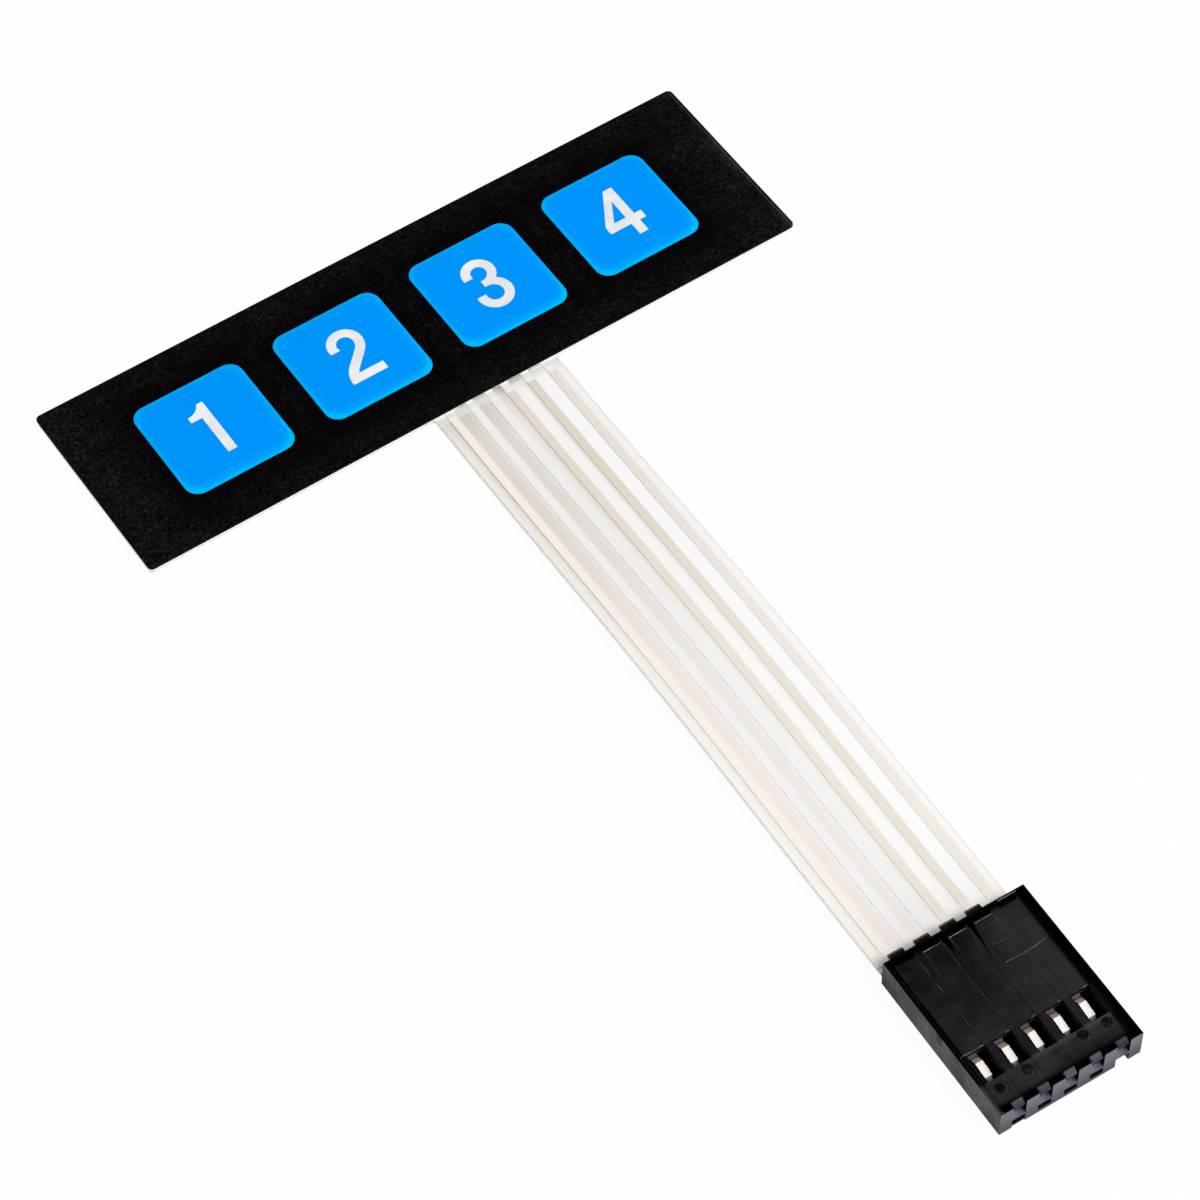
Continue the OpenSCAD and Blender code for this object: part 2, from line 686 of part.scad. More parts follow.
module contact(i) {
    metal_top = circuit_t + trace_t;
    plate_end = crimp_start + crimp_l;
    leaf = [[-box_end + eps, box_h], [-box_end, box_h], [-leaf_start, pinch_h],
        [-leaf_bend, crown_h], [-leaf_end, pinch_h]];
    tip = [[eps - leaf_end, pinch_h], [-leaf_end - 0.2, pinch_h - 0.06],
        [-leaf_end - 0.75, pinch_h + 0.25]];
    color("#c9c4bc") in_housing_frame() translate([contact_x[i], 0, floor_t]) {
        // Crimp plate with tines folded over the conductor
        block([-crimp_w / 2, -plate_end, 0], [crimp_w / 2, -crimp_start, metal_t]);
        for (s = [-1, 1], y = tine_y) {
            translate([s * (crimp_w - metal_t) / 2, -y, (2 * metal_t + metal_top) / 2])
                cube([metal_t, tine_l, metal_top + 2 * metal_t], center = true);
            translate([s * (crimp_w - tine_reach) / 2, -y, 1.5 * metal_t + metal_top])
                cube([tine_reach, tine_l, metal_t], center = true);
        }
        // Neck and box
        block([-leaf_w / 2, -box_start - eps, 0], [leaf_w / 2, eps - plate_end, metal_t]);
        difference() {
            block([-box_w / 2, -box_end, 0], [box_w / 2, -box_start, box_h]);
            block([metal_t - box_w / 2, -box_end - eps, metal_t],
                [box_w / 2 - metal_t, eps - box_start, box_h - metal_t]);
        }
        // Lower leaf, flat, and upper leaf, bent up between two pinches, with a narrow flared tip
        block([-leaf_w / 2, -cavity_end + 0.3, 0], [leaf_w / 2, eps - box_end, metal_t]);
        across(0, leaf_w) polygon(concat(leaf, [for (k = [4:-1:0]) leaf[k] - [0, metal_t]]));
        across(0, tip_w) polygon(concat(tip, [for (k = [2:-1:0]) tip[k] - [0, metal_t]]));
    }
}

graphic_overlay();
key_field(0);  // key_field_1
key_field(1);  // key_field_2
key_field(2);  // key_field_3
key_field(3);  // key_field_4
numeral(0);  // numeral_1
numeral(1);  // numeral_2
numeral(2);  // numeral_3
numeral(3);  // numeral_4
overlay_adhesive();
upper_contact_film();
shorting_pad(0);  // shorting_pad_1
shorting_pad(1);  // shorting_pad_2
shorting_pad(2);  // shorting_pad_3
shorting_pad(3);  // shorting_pad_4
contact_spacer();
lower_circuit_film();
conductor(0);  // conductor_1
conductor(1);  // conductor_2
conductor(2);  // conductor_3
conductor(3);  // conductor_4
conductor(4);  // conductor_5
blank_strip();
tail_cover_film();
rear_adhesive();
release_liner();
connector_housing();
contact(0);  // contact_1
contact(1);  // contact_2
contact(2);  // contact_3
contact(3);  // contact_4
contact(4);  // contact_5
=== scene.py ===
import math

import bmesh
import bpy
from mathutils import Matrix, Vector


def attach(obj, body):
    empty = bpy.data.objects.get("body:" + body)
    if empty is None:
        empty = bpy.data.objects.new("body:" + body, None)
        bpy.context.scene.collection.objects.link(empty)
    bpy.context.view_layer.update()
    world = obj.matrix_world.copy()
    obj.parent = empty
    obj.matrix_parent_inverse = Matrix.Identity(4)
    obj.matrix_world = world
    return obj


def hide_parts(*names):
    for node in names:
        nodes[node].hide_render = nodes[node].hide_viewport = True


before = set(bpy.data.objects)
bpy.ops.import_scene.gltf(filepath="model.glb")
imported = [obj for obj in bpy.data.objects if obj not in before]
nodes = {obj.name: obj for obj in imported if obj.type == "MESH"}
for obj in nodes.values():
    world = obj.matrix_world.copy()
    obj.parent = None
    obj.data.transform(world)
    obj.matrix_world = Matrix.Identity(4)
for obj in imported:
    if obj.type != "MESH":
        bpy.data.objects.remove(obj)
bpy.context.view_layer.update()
mm = 0.001
print("frame loaded:", len(nodes), "CAD nodes")

# the part's own sizes, in millimetres, as its source has them
part = {
    "panelLength": 69.2, "panelWidth": 20.5, "keyPitch": 14.63, "keyCount": 4,
    "exitX": 1.5, "tailTurn": -0.9, "tailLength": 69.5, "tailWidth": 13.1,
    "housingTurn": -1.0, "housingShift": 0.2, "contactPitch": 2.54, "ways": 5,
}


def turned(x, y, degrees):
    a = math.radians(degrees)
    return x * math.cos(a) - y * math.sin(a), x * math.sin(a) + y * math.cos(a)


# where the tail's and the socket's own axes start, and how far they are turned
tailAxes = (part["exitX"], -part["panelWidth"] / 2, part["tailTurn"])
socketStart = turned(part["housingShift"], -part["tailLength"], part["tailTurn"])
socketAxes = (tailAxes[0] + socketStart[0], tailAxes[1] + socketStart[1],
              part["tailTurn"] + part["housingTurn"])


# shader maths: a wire is one output socket, and plain expressions join wires
class Wire:
    def __init__(self, graph, socket):
        self.graph = graph
        self.socket = socket

    def output(self, key):
        # another output of the same node
        return Wire(self.graph, self.socket.node.outputs[key])

    def maths(self, operation, *values, clamp=False):
        return self.graph.node("ShaderNodeMath", {"operation": operation, "use_clamp": clamp},
                               dict(enumerate(values)))

    def __add__(self, other):
        return self.maths("ADD", self, other)

    def __radd__(self, other):
        return self.maths("ADD", other, self)

    def __sub__(self, other):
        return self.maths("SUBTRACT", self, other)

    def __rsub__(self, other):
        return self.maths("SUBTRACT", other, self)

    def __mul__(self, other):
        return self.maths("MULTIPLY", self, other)

    def __rmul__(self, other):
        return self.maths("MULTIPLY", other, self)

    def __truediv__(self, other):
        return self.maths("DIVIDE", self, other)

    def __rtruediv__(self, other):
        return self.maths("DIVIDE", other, self)

    def __abs__(self):
        return self.maths("ABSOLUTE", self)

    def clamped(self):
        return self.maths("ADD", self, 0.0, clamp=True)

    def atLeast(self, other):
        return self.maths("MAXIMUM", self, other)

    def atMost(self, other):
        return self.maths("MINIMUM", self, other)

    def power(self, exponent):
        return self.maths("POWER", self, exponent)

    def repeated(self, length):
        # starts again at 0 after each length
        return self.maths("MODULO", self, length)

    def rise(self, low, high):
        # 0 below low, 1 above high, smooth between; low above high makes it fall
        return self.graph.node("ShaderNodeMapRange", {"interpolation_type": "SMOOTHSTEP"},
                               {"Value": self, "From Min": low, "From Max": high})

    def band(self, start, full, fade, end):
        # rises from start to full and falls again from fade to end
        return self.rise(start, full) * self.rise(end, fade)

    def line(self, place, width, soft):
        # 1 on a line of that width at place, fading out over soft
        return abs(self - place).rise(width / 2 + soft, width / 2)


# a node tree, with the one method that adds nodes to it
class Graph:
    def __init__(self, tree):
        self.tree = tree

    def node(self, kind, settings=None, values=None, out=0):
        made = self.tree.nodes.new(kind)
        for name, value in (settings or {}).items():
            if name == "stops":
                ramp = made.color_ramp
                while len(ramp.elements) > 1:
                    ramp.elements.remove(ramp.elements[-1])
                ramp.elements[0].position, ramp.elements[0].color = value[0]
                for place, colour in value[1:]:
                    ramp.elements.new(place).color = colour
            else:
                setattr(made, name, value)
        for key, value in (values or {}).items():
            self.feed(made.inputs[key], value)
        return Wire(self, made.outputs[out])

    def feed(self, socket, value):
        if isinstance(value, Wire):
            self.tree.links.new(value.socket, socket)
        else:
            socket.default_value = value

    def split(self, vector):
        made = self.node("ShaderNodeSeparateXYZ", values={0: vector})
        return made, made.output(1), made.output(2)


# a material that is painted through its Principled shader
class Paint(Graph):
    def __init__(self, name, **sockets):
        self.material = bpy.data.materials.new(name)
        self.material.use_nodes = True
        super().__init__(self.material.node_tree)
        self.shader = self.tree.nodes["Principled BSDF"]
        self.apply(**sockets)

    def apply(self, **sockets):
        # sets or joins the shader's sockets, with _ for the spaces in their names
        for name, value in sockets.items():
            self.feed(self.shader.inputs[name.replace("_", " ")], value)
        return self.material

    def place(self, axes=(0, 0, 0)):
        # position on the piece in millimetres, in axes = (x, y, turn)
        where = self.node("ShaderNodeTexCoord", out="Object")
        return self.node("ShaderNodeMapping", {"vector_type": "TEXTURE"},
                         {"Vector": where, "Location": (axes[0] * mm, axes[1] * mm, 0),
                          "Rotation": (0, 0, math.radians(axes[2])), "Scale": (mm, mm, mm)})

    def stretch(self, vector, x, y, z):
        return self.node("ShaderNodeVectorMath", {"operation": "MULTIPLY"},
                         {0: vector, 1: (x, y, z)})

    def noise(self, vector, scale, detail=2.0, rough=0.5, twist=0.0):
        return self.node("ShaderNodeTexNoise", values={
            "Vector": vector, "Scale": scale, "Detail": detail, "Roughness": rough,
            "Distortion": twist})

    def mix(self, factor, first, second):
        # the colour mix has its factor at 0, its colours at 6 and 7 and its result at 2
        return self.node("ShaderNodeMix", {"data_type": "RGBA", "clamp_factor": True},
                         {0: factor, 6: first, 7: second}, out=2)

    def bump(self, height, strength, distance):
        return self.node("ShaderNodeBump", values={
            "Strength": strength, "Distance": distance * mm, "Height": height})


def grey(level):
    return level, level, level, 1.0


def shade(r, g, b):
    # linear colour of a tone given as a screen shows it, 0 to 255
    def linear(c):
        c /= 255
        return c / 12.92 if c <= 0.04045 else ((c + 0.055) / 1.055) ** 2.4
    return linear(r), linear(g), linear(b), 1.0


def numbered(name, count):
    # the nodes' names of a row, counted from 1
    return [f"{name}_{number}" for number in range(1, count + 1)]


def dress(names, material):
    for name in names:
        slots = nodes[name].data.materials
        slots.clear()
        slots.append(material)


# new pieces
def addPiece(name, bm, material, replaced):
    mesh = bpy.data.meshes.new(name)
    bm.to_mesh(mesh)
    bm.free()
    mesh.materials.append(material)
    piece = bpy.data.objects.new(name, mesh)
    bpy.context.scene.collection.objects.link(piece)
    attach(piece, "root")
    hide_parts(replaced)


def softenShading(bm, degrees, rounded=()):
    # smooth only over gentle creases, and along the broken edges themselves
    for face in bm.faces:
        face.smooth = True
    rounded = set(rounded)
    for edge in bm.edges:
        both = [face in rounded for face in edge.link_faces]
        gentle = edge.calc_face_angle(math.pi) < math.radians(degrees)
        edge.smooth = all(both) if any(both) else gentle


def nudge(bm, low, high, move):
    # shifts what lies between two corners; sizes in the socket's own axes, in millimetres
    axes = (Matrix.Translation((socketAxes[0], socketAxes[1], 0))
            @ Matrix.Rotation(math.radians(socketAxes[2]), 4, "Z"))
    back = axes.inverted()
    for vert in bm.verts:
        place = back @ (vert.co / mm)
        if all(a <= c <= b for a, c, b in zip(low, place, high)):
            vert.co = (axes @ (place + Vector(move))) * mm


# fine copies: points closer than "join" are one, and angles in degrees say which faces are
# flat together, which edges are broken and which are shaded smooth
fineCopy = {"join": 0.0001, "flat": 0.5, "sharp": 30, "smooth": 20, "segments": 2}


def finerCopy(nodeName, width, nudges):
    # a CAD node's shape with its triangles joined up and its sharp edges broken
    bm = bmesh.new()
    bm.from_mesh(nodes[nodeName].data)
    bmesh.ops.remove_doubles(bm, verts=bm.verts, dist=fineCopy["join"] * mm)
    bmesh.ops.dissolve_limit(bm, angle_limit=math.radians(fineCopy["flat"]), verts=bm.verts,
                             edges=bm.edges, use_dissolve_boundaries=False)
    for low, high, move in nudges:
        nudge(bm, low, high, move)
    limit = math.radians(fineCopy["sharp"])
    sharp = [edge for edge in bm.edges if edge.calc_face_angle(0) > limit]
    made = bmesh.ops.bevel(bm, geom=sharp, offset=width * mm, offset_type="OFFSET",
                           affect="EDGES", segments=fineCopy["segments"], profile=0.5,
                           clamp_overlap=True, material=-1, loop_slide=True)
    softenShading(bm, fineCopy["smooth"], made["faces"])
    return bm


# camera: the photograph's own place, 124 mm lens, turned a little about its axis
camera = {"place": (-115.778, -209.503, 292.242), "target": (-4.089, -35.276, 0.88),
          "roll": -1.6806, "lens": 123.731, "sensor": 36.0, "clip": (0.01, 20)}


def addCamera():
    data = bpy.data.cameras.new("camera")
    data.lens = camera["lens"]
    data.sensor_width = camera["sensor"]
    data.clip_start, data.clip_end = camera["clip"]
    eye = bpy.data.objects.new("camera", data)
    bpy.context.scene.collection.objects.link(eye)
    place = Vector(camera["place"]) * mm
    aim = (Vector(camera["target"]) * mm - place).to_track_quat("-Z", "Y").to_matrix().to_4x4()
    roll = Matrix.Rotation(math.radians(camera["roll"]), 4, "Z")
    eye.matrix_world = Matrix.Translation(place) @ aim @ roll
    bpy.context.scene.camera = eye


addCamera()
print("camera set")

# studio: white floor, soft overhead box from the front, pale room
studio = {
    "floorSize": 3.0, "floorDrop": 0.02, "floorColour": shade(240, 240, 240),
    "floorMottle": shade(243, 243, 243), "floorLift": 0.95,
    "roomLow": 1.0, "roomHigh": 0.1, "roomBand": (0.3, 0.72), "aim": (0, -35, 0), "away": 0.6,
    # each lamp's direction from the part, its side in metres and its watts
    "lamps": {"front_box": ((0.32, -0.50, 0.80), 0.26, 2.45),
              "rear_fill": ((-0.6, 0.75, 0.6), 0.3, 0.9)},
}


def addFloor():
    bm = bmesh.new()
    bmesh.ops.create_grid(bm, x_segments=1, y_segments=1, size=studio["floorSize"] / 2)
    bmesh.ops.translate(bm, verts=bm.verts, vec=(0, 0, -studio["floorDrop"] * mm))
    mesh = bpy.data.meshes.new("floor")
    bm.to_mesh(mesh)
    bm.free()
    paint = Paint("floor_paper", Roughness=0.9)
    where = paint.place()
    mottle = paint.noise(where, 0.05, 3)
    paint.apply(Base_Color=paint.mix(mottle, studio["floorColour"], studio["floorMottle"]))
    # the paper is nearly white where the camera or a reflection sees it
    ray = paint.node("ShaderNodeLightPath")
    seen = ray + ray.output("Is Glossy Ray") + ray.output("Is Transmission Ray")
    glow = paint.node("ShaderNodeEmission", values={"Color": grey(1), "Strength": 1.0})
    paper = paint.node("ShaderNodeMixShader", values={
        0: seen.clamped() * studio["floorLift"], 1: Wire(paint, paint.shader.outputs[0]), 2: glow})
    paint.feed(paint.tree.nodes["Material Output"].inputs["Surface"], paper)
    mesh.materials.append(paint.material)
    floor = bpy.data.objects.new("floor", mesh)
    bpy.context.scene.collection.objects.link(floor)


def addRoom():
    world = bpy.data.worlds.new("room")
    world.use_nodes = True
    bpy.context.scene.world = world
    sky = Graph(world.node_tree)
    up = sky.split(sky.node("ShaderNodeTexCoord", out="Generated"))[2]
    fall = studio["roomHigh"] - studio["roomLow"]
    level = studio["roomLow"] + up.rise(*studio["roomBand"]) * fall
    # full strength where the camera looks at it
    seen = sky.node("ShaderNodeLightPath")
    background = sky.tree.nodes["Background"]
    sky.feed(background.inputs["Strength"], level.atLeast(seen))
    sky.feed(background.inputs["Color"], grey(1))


def addLamp(name, start, side, watts):
    data = bpy.data.lights.new(name, "AREA")
    data.shape = "SQUARE"
    data.size = side
    data.energy = watts
    lamp = bpy.data.objects.new(name, data)
    bpy.context.scene.collection.objects.link(lamp)
    direction = Vector(start).normalized()
    lamp.location = Vector(studio["aim"]) * mm + direction * studio["away"]
    lamp.rotation_euler = direction.to_track_quat("Z", "Y").to_euler()


addFloor()
addRoom()
for name, (start, side, watts) in studio["lamps"].items():
    addLamp(name, start, side, watts)
bpy.context.scene.view_settings.view_transform = "Standard"
print("studio lit")

# the keys' printed pillows, which the face's own tone follows too
key = {"width": 11.17, "height": 11.42, "corner": 1.4, "foot": 0.88, "ink": 0.03,
       "flank": 0.95, "rise": 0.18, "rings": 14, "shell": 0.003, "cornerCuts": 12, "smooth": 40,
       "blue": shade(0, 152, 255), "glow": shade(0, 186, 255), "deep": shade(0, 148, 255),
       "bandCorner": 2.0,
       # the ink's own edge: steps inwards, and shares of its thickness
       "inkSteps": ((0.012, 0.6), (0.02, 0.4)),
       # where the thin and the wide painted highlights along a key's edge start and end
       "thinBand": (0.42, 0.12), "wideBand": (1.2, 0.2)}

# printed face: near-black film with a leathery grain, specks and curly fibres
face = {"black": shade(1, 0, 1), "lit": shade(6, 4, 4), "grain": shade(64, 57, 60),
        "speckAndSheen": shade(120, 118, 126), "edge": shade(24, 16, 14), "top": 0.88,
        # how far the light of the panel's ends reaches in, how far inside the right edge the
        # faint line lies, and between which distances from a key the film gets lighter
        "endLight": 9.0, "edgeLine": 0.3, "keyLight": (0.3, 4.0),
        # beyond the outer keys, where the distance from a key is made to grow, and by how much
        "farFrom": -0.6, "farTo": 3.0, "farBy": 3.0}


def keyReach(x, y):
    # place across the nearest key, and how far it lies outside that key's printed field
    pitch, end = part["keyPitch"], part["keyPitch"] * part["keyCount"] / 2
    across = (x + end * 2).repeated(pitch) - pitch / 2
    outX = (abs(across) - key["width"] / 2).atLeast(0)
    outX = outX + abs(x).rise(end + face["farFrom"], end + face["farTo"]) * face["farBy"]
    outY = (abs(y) - key["height"] / 2).atLeast(0)
    return across, outX.atLeast(outY)


def faceFilm():
    paint = Paint("face_film_black", Specular_IOR_Level=0.022)
    where = paint.place()
    x, y, z = paint.split(where)
    outside = keyReach(x, y)[1]
    cloud = paint.noise(where, 0.22, 4, 0.6)
    curls = abs(paint.noise(where, 2.6, 2, 0.6, 1.6) - 0.5).rise(0.07, 0.0)
    curls = curls * paint.noise(where, 3.1, 3, 0.7).rise(0.38, 0.62)
    grain = paint.noise(where, 7.5, 3, 0.75)
    fleck = paint.node("ShaderNodeTexVoronoi", {"feature": "F1"},
                       {"Vector": where, "Scale": 1.5, "Randomness": 1.0})
    dust = fleck.rise(0.13, 0.05) * paint.noise(where, 1.1, 2).rise(0.5, 0.66)
    fibre = abs(paint.noise(where, 0.9, 3, 0.6, 2.0) - 0.5).rise(0.007, 0.0)
    fibre = fibre * paint.noise(where, 0.7, 2).rise(0.54, 0.64)
    # painted light: lighter away from the keys and towards both ends
    end = part["panelLength"] / 2
    ends = abs(x).rise(end - face["endLight"], end)
    lit = outside.rise(*face["keyLight"]) * 0.45 + ends * 0.35 + (cloud - 0.45) * 0.9
    lit = lit.clamped()
    tone = paint.mix(lit, face["black"], face["lit"])
    tone = paint.mix(curls * (0.08 + lit * 0.5), tone, face["grain"])
    tone = paint.mix(grain.rise(0.56, 0.72) * (0.07 + lit * 0.42), tone, face["grain"])
    tone = paint.mix((dust * 0.6 + fibre * 0.35) * (0.2 + lit * 0.6), tone, face["speckAndSheen"])
    # faint line just inside the right edge, and a painted soft sheen along it
    rightEdge = x - (end - face["edgeLine"])
    tone = paint.mix(rightEdge.line(0.0, 0.01, 0.05) * 0.3, tone, face["speckAndSheen"])
    glow = rightEdge.rise(-1.2, 0.2) * y.rise(9.0, 3.0) * cloud.rise(0.3, 0.7)
    tone = paint.mix(glow * 0.12, tone, face["speckAndSheen"])
    side = z.rise(face["top"] - 0.03, face["top"] - 0.08)
    tone = paint.mix(side, tone, face["edge"])
    return paint.apply(Base_Color=tone, Roughness=0.36 + grain * 0.16 + cloud * 0.06,
                       Normal=paint.bump(curls * 0.6 + grain * 0.4, 0.18, 0.02))


dress(["graphic_overlay"], faceFilm())
print("face film done")


# keys: blue printed pillows over the embossing
def keyPaint():
    paint = Paint("key_blue", Specular_IOR_Level=0.0)
    where = paint.place()
    x, y = paint.split(where)[:2]
    across = keyReach(x, y)[0]
    halfWidth, halfHeight, corner = key["width"] / 2, key["height"] / 2, key["bandCorner"]
    # distance inwards from the edge of the key, with wide round corners
    overX = (abs(across) - (halfWidth - corner)).atLeast(0)
    overY = (abs(y) - (halfHeight - corner)).atLeast(0)
    bend = corner - (overX * overX + overY * overY).power(0.5)
    inside = bend.atMost((halfWidth - abs(across)).atMost(halfHeight - abs(y)))
    front = y.rise(0.0, -halfHeight)
    cloud = paint.noise(where, 0.32, 3, 0.55)
    # painted highlights along the key's edge, stronger towards the front, in the glow tone
    thin = inside.rise(*key["thinBand"]) * (0.42 + front * 0.4)
    wide = inside.rise(*key["wideBand"]) * (0.16 + front * 0.16) * (0.7 + cloud * 0.6)
    tone = paint.mix(cloud.rise(0.4, 0.7) * 0.5, key["blue"], key["deep"])
    tone = paint.mix(thin + wide, tone, key["glow"])
    grain = paint.noise(where, 9.0, 3, 0.6)
    return paint.apply(Base_Color=tone, Roughness=0.42 + grain * 0.12,
                       Normal=paint.bump(grain, 0.08, 0.02))


def addPillow(number, material):
    bm = bmesh.new()
    bmesh.ops.create_grid(bm, x_segments=1, y_segments=1, size=0.5)
    bmesh.ops.scale(bm, verts=bm.verts, vec=(key["width"] * mm, key["height"] * mm, 1))
    bmesh.ops.bevel(bm, geom=bm.verts[:], offset=key["corner"] * mm, offset_type="OFFSET",
                    affect="VERTICES", segments=key["cornerCuts"], profile=0.5, material=-1,
                    clamp_overlap=False)
    x = (number - (part["keyCount"] + 1) / 2) * part["keyPitch"]
    bmesh.ops.translate(bm, verts=bm.verts, vec=(x * mm, 0, key["foot"] * mm))
    bm.faces.ensure_lookup_table()
    top = bm.faces[0]
    # the ink's own edge, then an S-shaped flank
    steps = [(inward, share * key["ink"]) for inward, share in key["inkSteps"]]
    start, last = sum(inward for inward, up in steps), 0.0
    for ring in range(1, key["rings"] + 1):
        share = ring / key["rings"]
        height = key["rise"] * share * share * (3 - 2 * share)
        steps.append(((key["flank"] - start) / key["rings"], height - last))
        last = height
    for inward, up in steps:
        bmesh.ops.inset_region(bm, faces=[top], thickness=inward * mm, depth=0,
                               use_even_offset=True, use_boundary=True)
        bmesh.ops.translate(bm, verts=top.verts, vec=(0, 0, up * mm))
    bmesh.ops.solidify(bm, geom=bm.faces[:], thickness=key["shell"] * mm)
    bmesh.ops.recalc_face_normals(bm, faces=bm.faces)
    softenShading(bm, key["smooth"])
    addPiece(f"key_pillow_{number}", bm, material, f"key_field_{number}")


bluePaint = keyPaint()
for number in range(1, part["keyCount"] + 1):
    addPillow(number, bluePaint)
print("keys done")

# numerals: white print with a faint cloudy tone
numeral = {"white": shade(250, 250, 252), "cloud": shade(228, 229, 234)}


def numeralPaint():
    paint = Paint("numeral_white", Specular_IOR_Level=0.25)
    where = paint.place()
    cloud = paint.noise(where, 0.4, 2, 0.5, 0.3).rise(0.3, 0.7)
    fine = paint.noise(where, 8.0, 3, 0.6)
    tone = paint.mix(cloud * 0.75 + fine * 0.1, numeral["white"], numeral["cloud"])
    return paint.apply(Base_Color=tone, Roughness=0.45 + fine * 0.12,
                       Normal=paint.bump(fine, 0.08, 0.02))


dress(numbered("numeral", part["keyCount"]), numeralPaint())
print("numerals done")

# tail: white film with printed strips seen through a clear cover film
tail = {
    # the strips' middles from the left, how tan and how cool each is, and the depth of its
    # painted shadow line; "wall" is the step beside a strip
    "strips": (-5.045, -2.845, -0.78, 0.885, 3.085, 5.285), "stripWidth": 0.76, "wall": 0.07,
    "tan": (0.0, 0.0, 0.0, 0.85, 1.0, 0.6), "cool": (0.0, 1.0, 0.9, 0.0, 0.0, 0.0),
    "line": (0.4, 0.04, 0.08, 0.3, 0.3, 0.4),
    # the form and the level of the beige cast on each gap, from the left
    "gaps": ("rising", "core", "core", "rising", "late", "flat", "flat"),
    "gapLevel": (0.6, 0.74, 0.74, 0.66, 0.58, 0.0, 0.12),
    "film": shade(250, 250, 250), "warm": shade(217, 204, 189), "farWarm": shade(216, 194, 167),
    "cream": shade(247, 242, 235), "stripTan": shade(228, 218, 201),
    "stripCool": shade(241, 242, 244), "paintedShadow": shade(150, 132, 118), "edge": shade(212, 194, 180),
    "bare": shade(250, 248, 245), "blush": shade(255, 247, 238),
    "ink": shade(255, 255, 252), "inkGrain": shade(250, 246, 238), "softEdge": 0.05,
    # where the last strip widens, across the tail, and from where to where along it
    "widening": (5.6, 5.7, 5.84, 5.92), "wideningAlong": (50, 57),
    # how far from the panel the warm tones fade, and where the strips lie bare
    "warmAlong": (38, 8), "barePanel": (0.98, 0.88), "bareSocket": (60, 61),
    # shade below the cover film's end: across and along
    "coverShade": ((0.5, 0.3), (6.0, 1.0)),
    # shade under the panel's edge: a wide one up to the fourth strip's flank, one on the gap
    # after it, and a short one between the strips; each as its left and right edge across the
    # tail, its fade along it, its amount, and whether it falls on the strips too
    "edgeShades": (((-0.78, 0.885), (0.5, 0.42), (1.7, 0.0), 0.74, True),
                   ((1.3, 1.4), (2.8, 2.3), (0.6, 0.0), 0.25, True),
                   ((-4.6, -4.4), (3.9, 3.7), (0.32, 0.05), 0.25, False)),
    "blushAlong": (66.6, 68.2), "rimStart": 0.13, "rimFull": 0.08,
}
# how a gap's beige cast spreads, as (share of the gap's width, amount)
gapForms = {
    "rising": ((0.02, 0.42), (0.4, 0.55), (0.98, 1.0)),
    "core": ((0.02, 0.72), (0.2, 0.95), (0.6, 0.95), (0.98, 0.5)),
    "late": ((0.02, 0.1), (0.6, 0.12), (0.98, 1.0)),
    "flat": ((0.02, 1.0), (0.98, 1.0)),
}


def stripMasks(paint, u):
    # one ramp across the tail carries three masks: strip, tan tone, cool tone
    half, soft, width = tail["stripWidth"] / 2, tail["softEdge"], part["tailWidth"]
    stops = [(0.0, (0, 0, 0, 1))]
    for x, tan, cool in zip(tail["strips"], tail["tan"], tail["cool"]):
        for side, there in ((-half - soft, 0), (-half + soft, 1), (half - soft, 1),
                            (half + soft, 0)):
            stops.append(((x + side) / width + 0.5, (there, tan, cool, 1)))
    ramp = paint.node("ShaderNodeValToRGB", {"stops": stops}, {0: u / width + 0.5})
    made = paint.node("ShaderNodeSeparateColor", values={0: ramp})
    return made, made.output(1), made.output(2)


def gapCast(paint, u):
    # the beige cast over the gaps between the strips, as one more ramp across the tail
    width, half = part["tailWidth"], tail["stripWidth"] / 2
    edges = [-width / 2] + [x for s in tail["strips"] for x in (s - half, s + half)] + [width / 2]
    stops = []
    for gap, (form, level) in enumerate(zip(tail["gaps"], tail["gapLevel"])):
        low, high = edges[2 * gap], edges[2 * gap + 1]
        for share, amount in gapForms[form]:
            stops.append(((low + (high - low) * share) / width + 0.5, grey(level * amount)))
    return paint.node("ShaderNodeValToRGB", {"stops": stops}, {0: u / width + 0.5})


